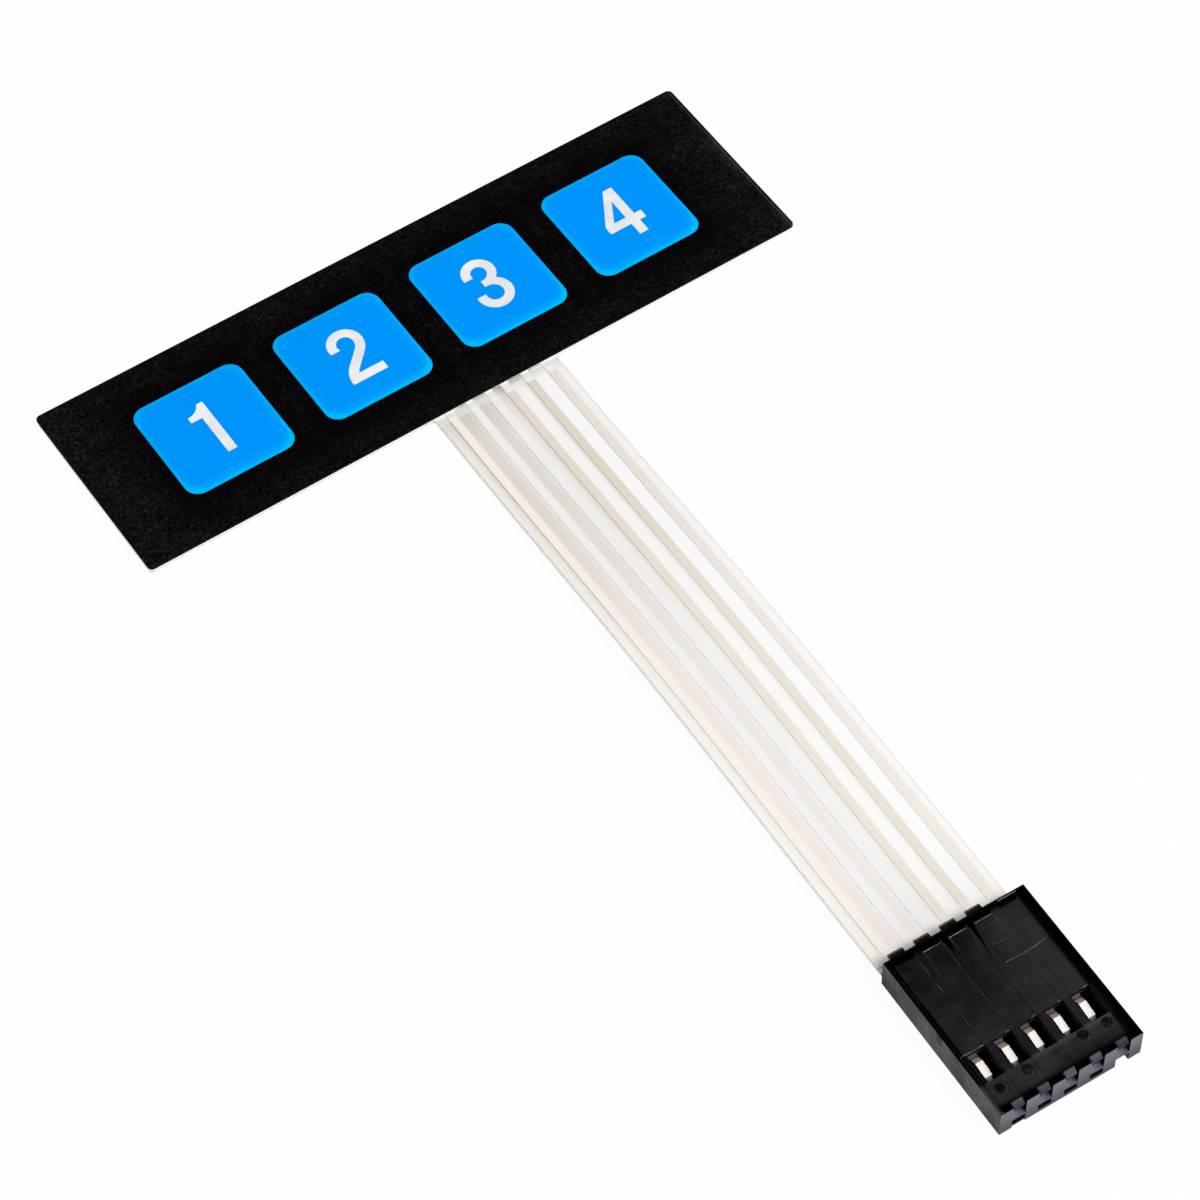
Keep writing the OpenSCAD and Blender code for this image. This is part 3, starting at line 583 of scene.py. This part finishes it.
def tailPaint(name, covered):
    paint = Paint(name, Specular_IOR_Level=0.2)
    where = paint.place(tailAxes)
    u, v = paint.split(where)[:2]
    along = v * -1.0
    strip, tan, cool = stripMasks(paint, u)
    # the last strip widens towards the socket
    widening = u.band(*tail["widening"]) * along.rise(*tail["wideningAlong"])
    strip = strip.atLeast(widening * 0.8)
    drift = paint.noise(paint.stretch(where, 1.0, 0.06, 1.0), 0.5, 3, 0.55)
    fine = paint.noise(paint.stretch(where, 1.0, 0.4, 1.0), 12.0, 3, 0.6)
    nearPanel = along.rise(*tail["warmAlong"]) * 0.5 + 0.5
    warm = paint.mix(nearPanel * 2 - 1, tail["farWarm"], tail["warm"])
    tone = paint.mix(gapCast(paint, u) * nearPanel * (0.8 + drift * 0.4), tail["film"], warm)
    ink = paint.mix(tan * (0.25 + nearPanel * 0.75), tail["cream"], tail["stripTan"])
    ink = paint.mix(cool * 0.85, ink, tail["stripCool"])
    ink = paint.mix(fine.rise(0.45, 0.75) * 0.12, ink, tail["warm"])
    tone = paint.mix(strip, tone, ink)
    # painted shadow: a thin dark line on each strip's left flank
    half = tail["stripWidth"] / 2 + tail["wall"] / 2
    for x, level in zip(tail["strips"], tail["line"]):
        tone = paint.mix(u.line(x - half, 0.03, 0.06) * level * nearPanel, tone, tail["paintedShadow"])
    if covered:
        # faint shade below the cover film's end, in the four gaps on the left
        across, fading = tail["coverShade"]
        shadow = (1 - strip) * u.rise(*across) * along.rise(*fading)
        tone = paint.mix(shadow * 0.13, tone, tail["paintedShadow"])
    else:
        # the bare film is paler, and painted lighter still right at the panel's edge, where the
        # panel shades it
        uncovered = along.rise(*tail["barePanel"]) + along.rise(*tail["bareSocket"])
        tone = paint.mix(uncovered * (0.55 + along.rise(0.7, 0.2) * 0.4), tone, tail["bare"])
        for left, right, fading, amount, onStrips in tail["edgeShades"]:
            shadow = u.rise(*left) * u.rise(*right) * along.rise(*fading) * amount
            tone = paint.mix(shadow if onStrips else shadow * (1 - strip), tone, tail["paintedShadow"])
    # paler and warmer just behind the socket: a warm tint, and painted light where the socket
    # shades the film
    tone = paint.mix(along.rise(*tail["blushAlong"]) * (0.75 if covered else 1.0), tone,
                     tail["blush"])
    # a darker rim along the tail's own edges
    edge = part["tailWidth"] / 2
    rim = abs(u).rise(edge - tail["rimStart"], edge - tail["rimFull"])
    tone = paint.mix(rim * (0.4 + u.rise(0, -1) * 0.15), tone, tail["edge"])
    return paint.apply(Base_Color=tone, Roughness=0.36 + fine * 0.14 + drift * 0.08,
                       Normal=paint.bump(fine, 0.08, 0.02))


def stripPaint():
    # silver ink with its grain; bare only in the short stretches beside panel and socket
    paint = Paint("silver_ink", Specular_IOR_Level=0.3)
    where = paint.place(tailAxes)
    grain = paint.noise(where, 14.0, 4, 0.65)
    streak = paint.noise(paint.stretch(where, 3.0, 0.2, 1.0), 3.0, 2)
    tone = paint.mix(grain.rise(0.35, 0.75) * 0.3 + streak * 0.15, tail["ink"],
                     tail["inkGrain"])
    return paint.apply(Base_Color=tone, Roughness=0.4 + grain * 0.2,
                       Normal=paint.bump(grain, 0.12, 0.02))


dress(["tail_cover_film"], tailPaint("tail_cover", covered=True))
dress(["lower_circuit_film"], tailPaint("circuit_film", covered=False))
dress(numbered("conductor", part["ways"]) + ["blank_strip"], stripPaint())
print("tail done")

# the layers under the face, of which only thin edges show: nodes, two tones, roughness
layers = {
    "clear_adhesive": (["overlay_adhesive", "rear_adhesive"], shade(255, 254, 252),
                       shade(246, 243, 238), 0.35),
    "switch_film": (["upper_contact_film"], shade(255, 254, 253), shade(249, 247, 244), 0.35),
    "carbon_print": (numbered("shorting_pad", part["keyCount"]), shade(36, 36, 38),
                     shade(58, 58, 60), 0.7),
    "liner_paper": (["release_liner"], shade(255, 255, 254), shade(251, 249, 246), 0.8),
    "spacer_film": (["contact_spacer"], shade(246, 243, 240), shade(238, 233, 228), 0.35),
}
# the spacer's edge over the tail is in shade: across the tail, and away from it
spacerShade = {"left": (-4.4, -3.6), "right": (5.0, 4.6), "away": (0.3, 0.2), "amount": 0.85}


def layerPaint(name, first, second, rough):
    paint = Paint(name, Specular_IOR_Level=0.3)
    where = paint.place()
    cloud = paint.noise(where, 0.4, 4, 0.6)
    fibre = paint.noise(paint.stretch(where, 0.5, 3.0, 1.0), 4.0, 4, 0.7)
    tone = paint.mix(cloud * 0.5 + fibre * 0.5, first, second)
    if name == "spacer_film":
        # painted shade over the tail's film, between its strips
        u, v = paint.split(paint.place(tailAxes))[:2]
        strip = stripMasks(paint, u)[0]
        span = u.rise(*spacerShade["left"]) * u.rise(*spacerShade["right"])
        span = span * v.rise(*spacerShade["away"])
        tone = paint.mix((1 - strip) * span * spacerShade["amount"], tone, tail["paintedShadow"])
    return paint.apply(Base_Color=tone, Roughness=rough + fibre * 0.15,
                       Normal=paint.bump(fibre, 0.15, 0.02))


for name, (members, first, second, rough) in layers.items():
    dress(members, layerPaint(name, first, second, rough))
print("layers done")

# socket housing: black moulded plastic with its edges broken
socket = {
    "edge": 0.035, "black": shade(7, 7, 8), "dark": shade(1, 1, 1), "scuffAndSheen": shade(92, 91, 97),
    "floor": shade(37, 36, 39), "rearFloor": shade(5, 5, 6), "line": shade(190, 190, 198),
    "front": shade(64, 62, 73), "frontTop": shade(105, 103, 115), "wall": shade(64, 60, 59),
    "wallDark": shade(12, 11, 11), "tab": shade(30, 25, 23), "lip": shade(84, 83, 89),
    "ledge": shade(98, 98, 108), "rim": shade(50, 48, 49), "sill": shade(128, 130, 148),
    "pitShade": shade(16, 12, 11),
    "laneHalf": 0.87, "pocketEnd": 0.6, "frontAt": 16.5, "halfWidth": 6.95, "rimTop": 3.15,
    "ribWidth": 0.74, "ribEnd": (11.0, 3.0), "windowRear": 10.28, "windowFront": 13.22,
    "windowHalf": 0.855, "windowTop": (2.12, 2.16), "floorLine": 13.35, "tabLine": -0.62,
    "wallSpot": 8.0, "tabStart": (0.05, -0.1), "trayRear": (0.3, 0.55), "belowTray": (2.2, 1.9),
    # where the outer windows open to the side walls
    "pitStart": (5.85, 5.9),
    # painted light on the left wall's top: up, across and along
    "topLight": ((3.1, 3.13), (-6.5, -6.6), (13.2, 13.8)),
    # the windows reach a little further, forward and back, than the source has them
    "nudges": (((-6.2, -13.1, 1.85), (6.2, -13.0, 2.6), (0, -0.16, 0)),
               ((-6.2, -10.25, 1.85), (6.2, -10.18, 2.6), (0, -0.08, 0))),
    # bands that start, are full, fade and end: the tray's height, and the place of the sills,
    # the ledges and the lips along the socket and up from the table
    "tray": (2.40, 2.44, 2.67, 2.72), "sillAlong": (16.0, 16.06, 16.46, 16.49),
    "sillUp": (1.28, 1.32, 1.6, 1.64), "ledgeAlong": (10.1, 10.16, 10.54, 10.6),
    "ledgeUp": 2.07, "lipAlong": (15.78, 15.86), "lipUp": (2.66, 2.74),
    # shade in front of the trench, over the whole tray and on its right
    "trenchShade": (15.1, 15.6), "trenchRight": ((14.2, 15.2), (-2.5, 1.0)),
    # painted shade in the gutters beside the left and the right wall, and where the left one is
    # darker
    "leftGutter": (6.1, 6.2), "rightGutter": (5.98, 6.08), "gutterRear": (2.0, 1.7),
    "gutterMiddle": (4.35, 4.45, 13.2, 13.3),
    # painted highlights on each lane's two long edges and on its rear edge; below 0 is a painted
    # dark line
    "laneLight": ((0.1, 0.5, 0.0), (0.4, 0.45, 1.0), (0.8, 0.35, 1.0), (-0.6, 0.5, 0.6),
                  (-0.7, 0.1, 0.0)),
    # where the light on a lane's two edges ends
    "lightEnds": ((6.0, 10.0), (5.5, 9.0), (3.2, 4.2), (9.5, 8.5), (10.0, 6.0)),
    # ribs between the lanes: above 0 darker, below 0 lighter
    "ribShade": (0.14, 0.42, 0.0, 0.04),
    # painted shade in notches at the lanes' rear ends: left and right edge at the rear rim, tip,
    # its station
    "notches": ((-1.5, -1.08, -0.82, 2.9), (1.2, 1.7, 0.92, 4.9)),
    # the scratches' arc: its middle, its bow, and both scratches' station, fade and reach
    "arcMiddle": 3.2, "arcBow": 0.04,
    "scratch": (5.1, 0.045, (1.6, 1.75, 5.9, 6.1)),
    "faintScratch": (3.2, 0.04, (1.7, 1.8, 3.1, 3.2)),
    # painted glint on the rear rim's inner edge: its station, and its reach behind the last lane
    "glint": (0.19, (4.2, 4.3, 6.0, 6.1)),
    # each way's lip: how much painted light it gets; each dimple: shift across, station, depth of
    # tone
    "lips": (0.9, 0.8, 1.9, 1.15, 0.6),
    "dimples": ((-0.3, 14.2, 1.0), (-0.05, 14.0, 0.8), (0.25, 13.85, 0.3), (0.4, 13.85, 0.9),
                (0.2, 13.95, 0.9)),
    "dimpleRadius": 0.46, "blotRadius": (0.5, 0.32),
}


def ways():
    for lane in range(part["ways"]):
        yield (lane - (part["ways"] - 1) / 2) * part["contactPitch"]


def trayFloor(paint, x, along, weave, thread, cloud, grain):
    # painted shade: the tray is lighter to the right and to the front, and darker to the left and
    # the rear
    rearShade = x.rise(4.6, -1.2) * along.rise(15.5, 2.5)
    floor = paint.mix(rearShade, socket["floor"], socket["rearFloor"])
    for number, amount in enumerate(socket["ribShade"]):
        middle = (number + 1 - part["ways"] / 2) * part["contactPitch"]
        rib = x.line(middle, socket["ribWidth"], 0.06) * along.rise(*socket["ribEnd"])
        other = socket["dark"] if amount > 0 else socket["scuffAndSheen"]
        floor = paint.mix(rib * abs(amount), floor, other)
    texture = (weave.rise(0.4, 0.75) + thread.rise(0.4, 0.75)) * 0.045
    texture = texture + cloud.rise(0.4, 0.75) * 0.06 + grain.rise(0.45, 0.75) * 0.1
    floor = paint.mix(texture, floor, socket["scuffAndSheen"])
    hollows = weave.rise(0.5, 0.25) * 0.25 + cloud.rise(0.5, 0.25) * 0.3
    floor = paint.mix(hollows, floor, socket["dark"])
    # painted sheen: a faint light line in front of the windows
    shine = along.line(socket["floorLine"], 0.15, 0.35) * x.rise(-3.0, -1.0)
    floor = paint.mix(shine * 0.22, floor, socket["scuffAndSheen"])
    # shade in front of the trench
    trench = along.rise(*socket["trenchShade"]) * (0.55 + cloud * 0.6)
    floor = paint.mix(trench, floor, socket["dark"])
    start, reach = socket["trenchRight"]
    return paint.mix(along.rise(*start) * x.rise(*reach) * 0.5, floor, socket["dark"])


def gutterMask(x, along):
    # painted shade in the gutters: the left one is darker at its rear and in its middle, the right
    # one all along
    darker = along.rise(*socket["gutterRear"]) + along.band(*socket["gutterMiddle"]) * 0.6
    left = (x * -1.0).rise(*socket["leftGutter"]) * (darker + 0.25)
    return left + x.rise(*socket["rightGutter"])


def wallLight(paint, where, x, along, z):
    # how light the outer walls are: cloudy, with painted shade low down and at the rear, and darker
    # at one spot
    patch = paint.noise(paint.stretch(where, 1.0, 1.0, 0.4), 0.42, 3, 0.6)
    light = patch.rise(0.32, 0.64) * 0.75 + z.rise(0.0, 3.0) * 0.35 + 0.1
    light = light - along.rise(3.0, 0.0) * z.rise(3.4, 1.0) * 1.2
    spot = along.line(socket["wallSpot"], 0.3, 0.6) * z.rise(1.5, 2.5) * x.rise(0, -1)
    return (light - spot * 0.9).clamped()


def lipsAndLedges(paint, tone, x, along, z, cloud):
    # painted light on the lips of the stop tongues, on the sills under them and on the ledges at
    # the windows' rear; the sills are lighter on their left
    lip = along.rise(*socket["lipAlong"]) * z.rise(*socket["lipUp"])
    sill = along.band(*socket["sillAlong"]) * z.band(*socket["sillUp"])
    ledge = along.band(*socket["ledgeAlong"]) * z.line(socket["ledgeUp"], 0.06, 0.03)
    lips, sills = 0.0, 0.0
    for middle, level in zip(ways(), socket["lips"]):
        lips = lips + x.line(middle, 1.0, 0.03) * level
        sills = sills + x.line(middle, 1.2, 0.05) * (0.35 + (x - middle).rise(0.6, -0.6) * 0.65)
    light = 0.45 + z.rise(2.9, 3.13) * 0.35 + cloud * 0.3
    tone = paint.mix(lip * lips * light, tone, socket["lip"])
    tone = paint.mix(sill * sills * (0.5 + cloud * 0.5), tone, socket["sill"])
    return paint.mix(ledge * (0.6 + cloud * 0.7), tone, socket["ledge"])


def wedge(x, along, left, right, tip, end):
    # 1 inside a notch that narrows from the rear rim to its tip
    share = (end - along) * (1 / end)
    low = tip + share * (left - tip)
    high = tip + share * (right - tip)
    return (x - low).rise(-0.03, 0.05) * (high - x).rise(-0.03, 0.05) * along.rise(end, end - 0.2)


def laneMarks(paint, x, along, patchy):
    # painted highlights and painted dark lines along the lanes' edges, and painted shade in the
    # notches
    start = along.rise(socket["pocketEnd"] - 0.1, socket["pocketEnd"])
    half = socket["laneHalf"]
    sway = (paint.noise(paint.stretch(paint.place(socketAxes), 0.4, 1.0, 1.0), 0.45, 2) - 0.5) * 0.3
    marks, shadeMarks = 0.0, 0.0
    for middle, light, ends in zip(ways(), socket["laneLight"], socket["lightEnds"]):
        for edge, level, end in zip((-half, half), light, ends):
            line = (x + sway).line(middle + edge, 0.01, 0.04) * start * abs(level)
            if level > 0:
                marks = marks + line * along.rise(end, end - 2.5) * 0.62
            else:
                shadeMarks = shadeMarks + line * along.rise(end, end - 1.0)
        inLane = abs(x - middle).rise(half + 0.02, half - 0.04)
        rear = along.line(socket["pocketEnd"] + 0.03, 0.02, 0.035)
        marks = marks + rear * inLane * light[2] * 2.2
    for notch in socket["notches"]:
        shadeMarks = shadeMarks + wedge(x, along, *notch)
    return marks * (0.2 + patchy * 0.8), shadeMarks


def windowBrinks(x):
    # painted highlights on the windows' rear edges, the one on the left up to the wall
    brink = x.band(-6.65, -6.6, -4.3, -4.15)
    for middle in ways():
        brink = brink + (x - middle).band(0.3, 0.8, 0.86, 0.9) * 0.9
    return brink


def scratches(paint, where, x, along):
    # a long broken scratch across the last lanes, and a faint short one behind it
    off = x - socket["arcMiddle"]
    bow = along + off * off * socket["arcBow"] + (paint.noise(where, 1.3, 2) - 0.5) * 0.25
    station, fade, reach = socket["scratch"]
    broken = 0.3 + paint.noise(where, 1.1, 2).rise(0.4, 0.6)
    marks = bow.line(station, 0.01, fade) * x.band(*reach) * broken * 0.55
    station, fade, reach = socket["faintScratch"]
    return marks + bow.line(station, 0.01, fade) * x.band(*reach) * 0.15


def dimples(paint, where, x, along):
    # ejector dimples: a crescent of painted shade, a painted highlight on the lip opposite and a
    # dark blot in the middle
    rings, rims, blots = 0.0, 0.0, 0.0
    swirl = paint.noise(where, 1.9, 3, 0.6, 3.0)
    for middle, (shift, station, depth) in zip(ways(), socket["dimples"]):
        dx, dy = x - (middle + shift), along - station
        radius = (dx * dx + dy * dy).power(0.5) + (swirl - 0.5) * 0.12
        ring = radius.line(socket["dimpleRadius"], 0.09, 0.07) * depth
        rings = rings + ring * (dx * 0.57 - dy * 0.85).rise(-0.2, 0.1)
        rims = rims + ring * (dx * 0.9 + dy * 0.3).rise(0.2, 0.42)
        blots = blots + radius.rise(*socket["blotRadius"]) * swirl.rise(0.38, 0.48) * depth
    return rings, rims, blots


def socketPaint():
    paint = Paint("socket_black", Specular_IOR_Level=0.05, Coat_Roughness=0.22)
    where = paint.place(socketAxes)
    x, y, z = paint.split(where)
    along = y * -1.0
    cloud = paint.noise(where, 0.5, 4, 0.6)
    grain = paint.noise(where, 9.0, 4, 0.65)
    weave = paint.noise(paint.stretch(where, 0.35, 5.0, 1.0), 2.2, 3, 0.7)
    thread = paint.noise(paint.stretch(where, 5.0, 0.5, 1.0), 1.8, 3, 0.7)
    drag = paint.noise(paint.stretch(where, 2.0, 0.12, 1.0), 3.0, 3, 0.6)
    tray = z.band(*socket["tray"]) * along.rise(*socket["trayRear"])
    floor = trayFloor(paint, x, along, weave, thread, cloud, grain)
    gutter = gutterMask(x, along)
    # painted shade in the gutters
    floor = paint.mix(gutter, floor, socket["dark"])
    # painted shade: the floor is darker beside the windows, and black where the outer ones open to
    # the walls
    rear, end = socket["windowRear"], socket["windowFront"]
    opening = along.band(rear, rear + 0.06, end - 0.03, end + 0.03)
    floor = paint.mix(opening * 0.45, floor, socket["dark"])
    floor = paint.mix(abs(x).rise(*socket["pitStart"]) * opening, floor, socket["pitShade"])
    tone = paint.mix(tray, socket["dark"], floor)
    tone = paint.mix(z.rise(*socket["belowTray"]), tone, socket["black"])
    # painted light: the left wall's top is lighter towards the front
    up, across, ahead = socket["topLight"]
    rim = z.rise(*up) * x.rise(*across) * along.rise(*ahead)
    tone = paint.mix(rim, tone, socket["rim"])
    outer = abs(x).rise(socket["halfWidth"] - 0.03, socket["halfWidth"] - 0.005)
    light = wallLight(paint, where, x, along, z)
    tone = paint.mix(outer, tone, paint.mix(light, socket["wallDark"], socket["wall"]))
    front = along.rise(socket["frontAt"] - 0.03, socket["frontAt"] - 0.005)
    # painted light: the front face is lighter towards its top
    frontTone = paint.mix(z.rise(0.4, 3.0) * (0.8 + cloud * 0.4), socket["front"],
                          socket["frontTop"])
    tone = paint.mix(front, tone, frontTone)
    # grip tabs behind the ways, with a lighter line across them
    tone = paint.mix(along.rise(*socket["tabStart"]) * drag.rise(0.3, 0.7), tone, socket["tab"])
    tone = paint.mix(along.line(socket["tabLine"], 0.08, 0.06) * 0.9, tone, socket["scuffAndSheen"])
    tone = lipsAndLedges(paint, tone, x, along, z, cloud)
    # painted shade: the windows' side walls are black up to their top edges
    walls = 0.0
    for middle in ways():
        walls = walls + abs(x - middle).line(socket["windowHalf"], 0.1, 0.02)
    walls = walls * opening * z.rise(*socket["windowTop"])
    tone = paint.mix(walls, tone, socket["dark"])
    # painted highlights and shade along the lanes' edges, painted highlights on the windows' rear
    # edges, and scratches
    patchy = paint.noise(paint.stretch(where, 1.0, 0.5, 1.0), 1.4, 3).rise(0.35, 0.65)
    marks, shadeMarks = laneMarks(paint, x, along, patchy)
    brinks = along.line(rear - 0.03, 0.03, 0.03)
    marks = marks + brinks * windowBrinks(x) * (0.35 + patchy * 0.6)
    marks = marks + scratches(paint, where, x, along)
    marks = marks * (1 - gutter.clamped() * (1 - brinks))
    tone = paint.mix(marks * tray * 0.42, tone, socket["line"])
    tone = paint.mix(shadeMarks * tray, tone, socket["dark"])
    # painted glint on the inner edge of the rear rim behind the last lane
    station, reach = socket["glint"]
    glint = along.line(station, 0.01, 0.03)
    glint = glint * z.rise(socket["rimTop"] - 0.05, socket["rimTop"] - 0.02)
    tone = paint.mix(glint * x.band(*reach) * 0.65, tone, socket["line"])
    rings, rims, blots = dimples(paint, where, x, along)
    # painted highlights on the dimples' lips and painted shade in their crescents
    tone = paint.mix(rims * tray * 0.1, tone, socket["line"])
    tone = paint.mix((rings * 0.9 + blots) * tray, tone, socket["dark"])
    relief = grain * 0.4 + drag * 0.2 + (weave + thread) * 0.25 + marks * 0.3 - rings * 0.5
    gloss = tray * 0.05 + front * 0.15 + outer * (0.01 + light * 0.1)
    return paint.apply(Base_Color=tone, Coat_Weight=gloss,
                       Roughness=0.3 + tray * 0.12 + grain * 0.1 + cloud * 0.08,
                       Normal=paint.bump(relief, 0.2, 0.03))


addPiece("socket_housing", finerCopy("connector_housing", socket["edge"], socket["nudges"]),
         socketPaint(), "connector_housing")
print("socket done")

# contacts: tinned strip, with painted reflections: bright on the spring's plate, tan at its rear
# and its tongue
contact = {"edge": 0.025, "bright": shade(252, 245, 239), "tan": shade(238, 214, 194),
           "brown": shade(84, 60, 46), "pale": shade(236, 222, 208), "glint": shade(255, 255, 255),
           # the plate lies between bend and tip along the socket; "half" is half its width
           "bend": 10.95, "tip": 12.33, "half": 0.35, "arch": 0.2, "rearEnd": 9.6,
           # the plate lies flatter than the source has it
           "nudges": (((-7, -12.56, 0.85), (7, -12.34, 1.2), (0, 0.12, 0.33)),)}


def contactPaint():
    paint = Paint("contact_tin", Specular_IOR_Level=0.5)
    where = paint.place(socketAxes)
    x, y = paint.split(where)[:2]
    along = y * -1.0
    brushed = paint.noise(paint.stretch(where, 6.0, 0.4, 3.0), 4.0, 4, 0.65)
    cloud = paint.noise(where, 1.2, 3)
    bend, tip, half = contact["bend"], contact["tip"], contact["half"]
    nearest = part["contactPitch"] * part["ways"]
    for middle in ways():
        nearest = abs(x - middle).atMost(nearest)
    plate = along.band(bend - 0.05, bend + 0.05, tip - 0.02, tip + 0.05)
    tone = paint.mix(cloud * 0.5 + brushed * 0.3, contact["tan"], contact["pale"])
    # painted shade: the rear rise darkens away from the bend, and the tongue is brown
    tone = paint.mix(along.rise(bend - 0.3, bend - 0.75) * 0.85, tone, contact["brown"])
    tone = paint.mix(along.rise(tip, tip + 0.08), tone,
                     paint.mix(cloud, contact["tan"], contact["brown"]))
    tone = paint.mix(plate, tone, contact["bright"])
    # painted highlight just inside the plate's cut edges, warm on the edges themselves
    brim = nearest.line(half - 0.06, 0.03, 0.03) + along.line(tip - 0.05, 0.02, 0.03)
    tone = paint.mix(brim * plate * 0.7, tone, contact["glint"])
    cut = nearest.band(half - 0.025, half - 0.005, half + 0.03, half + 0.05)
    cut = cut * along.rise(contact["rearEnd"], contact["rearEnd"] + 0.2)
    tone = paint.mix(cut * 0.6, tone, contact["tan"])
    tone = paint.mix(brushed.rise(0.55, 0.85) * 0.15, tone, contact["tan"])
    # the plate is arched a little, so that it catches the light box
    arch = along.atLeast(bend).atMost(tip) * contact["arch"]
    return paint.apply(Base_Color=tone, Metallic=0.35 - plate * 0.3,
                       Roughness=0.28 + brushed * 0.18 + plate * 0.06,
                       Normal=paint.bump(brushed * 0.0024 - arch, 1.0, 1.0))


tinPaint = contactPaint()
for node in numbered("contact", part["ways"]):
    addPiece(f"spring_{node}", finerCopy(node, contact["edge"], contact["nudges"]), tinPaint,
             node)
print("contacts done")
